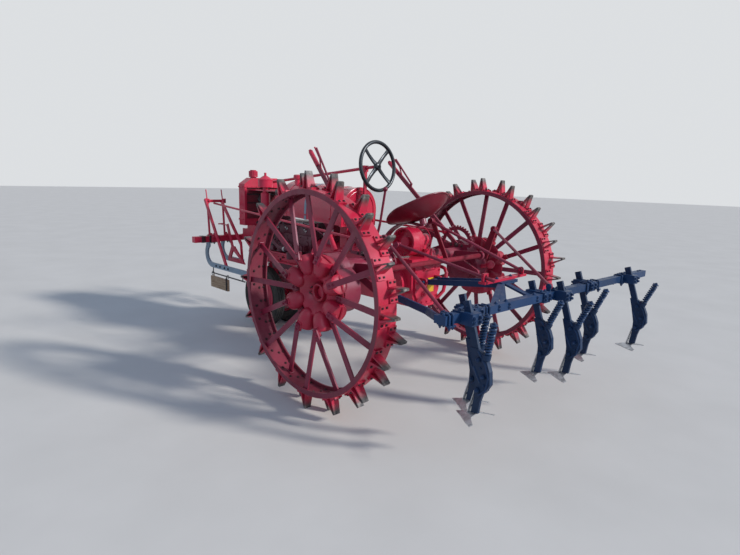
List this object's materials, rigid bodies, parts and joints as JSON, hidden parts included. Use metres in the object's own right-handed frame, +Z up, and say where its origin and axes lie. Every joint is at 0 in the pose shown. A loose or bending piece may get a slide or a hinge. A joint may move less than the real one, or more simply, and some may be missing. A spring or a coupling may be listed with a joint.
{
  "type": "row-crop tractor",
  "caption": "Vintage narrow-front row-crop tractor with spoked, lugged steel rear wheels, pan seat, belt pulley, front gang beams and a rear tool bar of spring-trip shanks.",
  "frame": {"origin": "point on the floor under the middle of the rear axle", "axes": "+X forward, +Y to the left side, +Z up; the floor is z = 0 and the wheels stand on it"},
  "size_m": [3.9543, 2.6466, 1.8873],
  "materials": {
    "black_paint": "satin",
    "black_plastic": "satin",
    "board_wood": "weathered",
    "deep_red_paint": "satin",
    "grey_blue_paint": "worn",
    "red_paint": "satin",
    "slate_blue_paint": "satin",
    "tyre_rubber": "matte",
    "worn_steel": "worn"
  },
  "bodies": {
    "tractor": {"side_rails": "red_paint", "front_bolster": "red_paint", "radiator": "red_paint", "fan": "black_paint", "engine_block": "deep_red_paint", "manifold": "deep_red_paint", "air_cleaner": "red_paint", "fuel_tank": "red_paint", "clutch_housing": "red_paint", "transmission_case": "red_paint", "axle_housings": "deep_red_paint", "pulley_bracket": "red_paint", "steering_post": "red_paint", "pan_seat": "red_paint", "seat_spring": "deep_red_paint", "hand_levers": "deep_red_paint", "front_frame": "red_paint", "gang_beams": "grey_blue_paint", "gang_bars": "red_paint", "gang_brackets": "red_paint", "front_rods": "red_paint", "board_rail": "black_paint", "hanging_board": "board_wood"},
    "rear_wheel_left": {"wheel_rim_left": "red_paint", "wheel_spokes_left": "deep_red_paint", "wheel_hub_left": "red_paint"},
    "rear_wheel_right": {"wheel_rim_right": "red_paint", "wheel_spokes_right": "deep_red_paint", "wheel_hub_right": "red_paint"},
    "front_steer": {"steer_yoke": "red_paint"},
    "front_wheel_left": {"front_tyre_left": "tyre_rubber", "front_disc_left": "red_paint"},
    "front_wheel_right": {"front_tyre_right": "tyre_rubber", "front_disc_right": "red_paint"},
    "steering_column": {"steering_shaft": "red_paint", "steering_wheel": "black_plastic"},
    "pulley": {"belt_pulley": "red_paint"},
    "cultivator": {"tool_bar": "slate_blue_paint", "drag_frame": "slate_blue_paint", "cross_bar": "red_paint", "shank_clamps": "slate_blue_paint", "shanks": "slate_blue_paint", "trip_springs": "slate_blue_paint", "shovels": "worn_steel"},
    "lift_shaft": {"rock_shaft": "deep_red_paint"},
    "lift_rod_left_body": {"lift_rod_left": "deep_red_paint"},
    "lift_rod_right_body": {"lift_rod_right": "deep_red_paint"},
    "stay_rod_left_body": {"stay_rod_left": "deep_red_paint"},
    "stay_rod_right_body": {"stay_rod_right": "deep_red_paint"}
  },
  "joints": [
    {"name": "wheel_left_spin", "type": "hinge", "parent": "tractor", "child": "rear_wheel_left", "pos_m": [0, 0.993, 0.79686], "axis": [0, 1, 0], "continuous": true},
    {"name": "wheel_right_spin", "type": "hinge", "parent": "tractor", "child": "rear_wheel_right", "pos_m": [0, -0.993, 0.79686], "axis": [0, 1, 0], "continuous": true},
    {"name": "steering", "type": "hinge", "parent": "tractor", "child": "front_steer", "pos_m": [1.92, 0, 0.64], "axis": [0, 0, 1], "range_deg": [-60, 60]},
    {"name": "front_wheel_left_spin", "type": "hinge", "parent": "front_steer", "child": "front_wheel_left", "pos_m": [1.88, 0.135, 0.32], "axis": [0, 1, 0], "continuous": true},
    {"name": "front_wheel_right_spin", "type": "hinge", "parent": "front_steer", "child": "front_wheel_right", "pos_m": [1.88, -0.135, 0.32], "axis": [0, 1, 0], "continuous": true},
    {"name": "steering_wheel_turn", "type": "hinge", "parent": "tractor", "child": "steering_column", "pos_m": [0.4, 0, 1.66], "axis": [0.9945, 0, -0.1045], "range_deg": [-451, 451]},
    {"name": "pulley_spin", "type": "hinge", "parent": "tractor", "child": "pulley", "pos_m": [-0.05, 0.1, 1.092], "axis": [0, 1, 0], "continuous": true},
    {"name": "cultivator_lift", "type": "hinge", "parent": "tractor", "child": "cultivator", "pos_m": [-0.22, 0, 0.8], "axis": [0, 1, 0], "range_deg": [-18, 0]},
    {"name": "rock_shaft_turn", "type": "hinge", "parent": "tractor", "child": "lift_shaft", "pos_m": [-0.25, 0, 0.95], "axis": [0, 1, 0], "range_deg": [-28.9, 0]},
    {"name": "lift_rod_left_pivot", "type": "hinge", "parent": "cultivator", "child": "lift_rod_left_body", "pos_m": [-0.99975, 0.88399, 0.852], "axis": [0, 1, 0], "range_deg": [-0.5, 1.5]},
    {"name": "lift_rod_right_pivot", "type": "hinge", "parent": "cultivator", "child": "lift_rod_right_body", "pos_m": [-1.12592, -0.07454, 0.899], "axis": [0, 1, 0], "range_deg": [-0.5, 1.5]},
    {"name": "stay_rod_right_pivot", "type": "hinge", "parent": "cultivator", "child": "stay_rod_right_body", "pos_m": [-0.83, -0.215, 0.952], "axis": [0, 1, 0], "range_deg": [-2.5, 0.5]},
    {"name": "stay_rod_left_pivot", "type": "hinge", "parent": "tractor", "child": "stay_rod_left_body", "pos_m": [-0.12, 0.29, 1.09], "axis": [0, 1, 0], "range_deg": [-14, 0]}
  ],
  "couplings": [
    {"joint": "steering_wheel_turn", "follows": "steering", "ratio": 7.5},
    {"joint": "rock_shaft_turn", "follows": "cultivator_lift", "ratio": 1.6012},
    {"joint": "lift_rod_left_pivot", "follows": "cultivator_lift", "ratio": -0.0757},
    {"joint": "lift_rod_right_pivot", "follows": "cultivator_lift", "ratio": -0.067},
    {"joint": "stay_rod_right_pivot", "follows": "cultivator_lift", "ratio": 0.122},
    {"joint": "stay_rod_left_pivot", "follows": "cultivator_lift", "ratio": 0.766}
  ]
}
